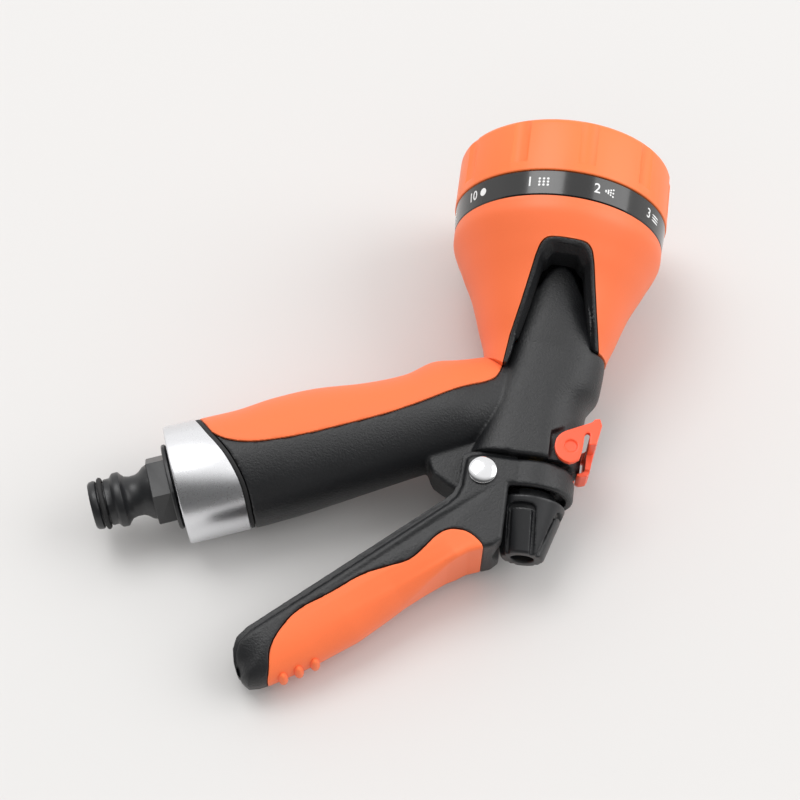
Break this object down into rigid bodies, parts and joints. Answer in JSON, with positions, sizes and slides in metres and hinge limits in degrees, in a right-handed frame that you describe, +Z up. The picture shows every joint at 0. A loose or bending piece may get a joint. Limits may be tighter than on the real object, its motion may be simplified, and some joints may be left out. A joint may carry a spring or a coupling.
{
  "type": "hose spray nozzle",
  "caption": "Pistol-grip garden hose spray nozzle with a rear trigger, a turning multi-pattern head, a flow knob, a lock clip and a click-on hose tail, lying on its side",
  "frame": {"origin": "centre of the bounding box at its lowest level, which is the surface that the nozzle lies on", "axes": "+Z is up as the nozzle lies on its side; +Y is the spray direction seen from above; +X points away from the handle"},
  "size_m": [0.1862, 0.2084, 0.079],
  "materials": {
    "barrel_black": "moulded nylon with a fine grain",
    "cone_orange": "moulded ABS, satin",
    "grip_orange": "soft over-moulded TPR",
    "dial_orange": "moulded ABS, satin",
    "clip_orange": "moulded acetal",
    "gloss_black": "moulded ABS, gloss, with white marks",
    "smooth_black": "moulded acetal, smooth",
    "collar_metal": "turned and satin anodised",
    "rivet_metal": "polished and nickel plated",
    "steel": "stainless steel",
    "brass": "turned brass",
    "seal_rubber": "nitrile rubber"
  },
  "bodies": {
    "nozzle_body": {"body_shell": "barrel_black", "head_cone": "cone_orange", "arch_trim_left": "barrel_black", "arch_trim_right": "barrel_black", "handle_grip": "grip_orange", "collar_ring": "collar_metal", "collar_seal": "seal_rubber", "hose_adapter": "smooth_black", "adapter_oring": "seal_rubber", "inlet_washer": "seal_rubber", "inlet_filter": "steel", "valve_seat": "brass", "gland_nut": "smooth_black", "gland_oring": "seal_rubber", "lever_rivet": "rivet_metal", "clip_pin": "steel", "outlet_funnel": "smooth_black", "port_plate": "smooth_black", "port_seal": "seal_rubber", "detent_spring": "steel", "detent_ball": "steel", "dial_washer": "steel", "dial_screw": "steel"},
    "trigger": {"trigger_lever": "barrel_black", "trigger_grip": "grip_orange"},
    "stem": {"valve_stem": "brass", "valve_seal": "seal_rubber", "seal_nut": "brass", "return_spring": "steel", "lift_collar": "smooth_black"},
    "knob": {"flow_knob": "smooth_black", "knob_insert": "brass"},
    "dial": {"dial_ring": "dial_orange", "index_band": "gloss_black", "spray_plate": "smooth_black", "turret_disc": "smooth_black"},
    "clip": {"lock_clip": "clip_orange"}
  },
  "joints": [
    {"name": "trigger_hinge", "type": "hinge", "parent": "nozzle_body", "child": "trigger", "pos_m": [0.03852, -0.0241, 0.02167], "axis": [-0.0084, 0.1639, -0.9864], "range_deg": [0, 18], "stiffness_Nm_per_rad": 1.2, "springref_deg": -20.05},
    {"name": "stem_slide", "type": "slide", "parent": "nozzle_body", "child": "stem", "axis": [0, -0.9865, -0.1639], "range_m": [0, 0.0078]},
    {"name": "knob_hinge", "type": "hinge", "parent": "stem", "child": "knob", "pos_m": [0.05512, -0.03868, 0.01911], "axis": [0, 0.9865, 0.1639], "range_deg": [-270, 270]},
    {"name": "dial_hinge", "type": "hinge", "parent": "nozzle_body", "child": "dial", "pos_m": [0.05512, 0.08167, 0.0391], "axis": [0, 0.9865, 0.1639], "continuous": true},
    {"name": "clip_hinge", "type": "hinge", "parent": "nozzle_body", "child": "clip", "pos_m": [0.06662, -0.01203, 0.02344], "axis": [-0.0084, 0.1639, -0.9864], "range_deg": [-8, 8]}
  ],
  "couplings": [
    {"joint": "stem_slide", "follows": "trigger_hinge", "m_per_rad": 0.024}
  ]
}
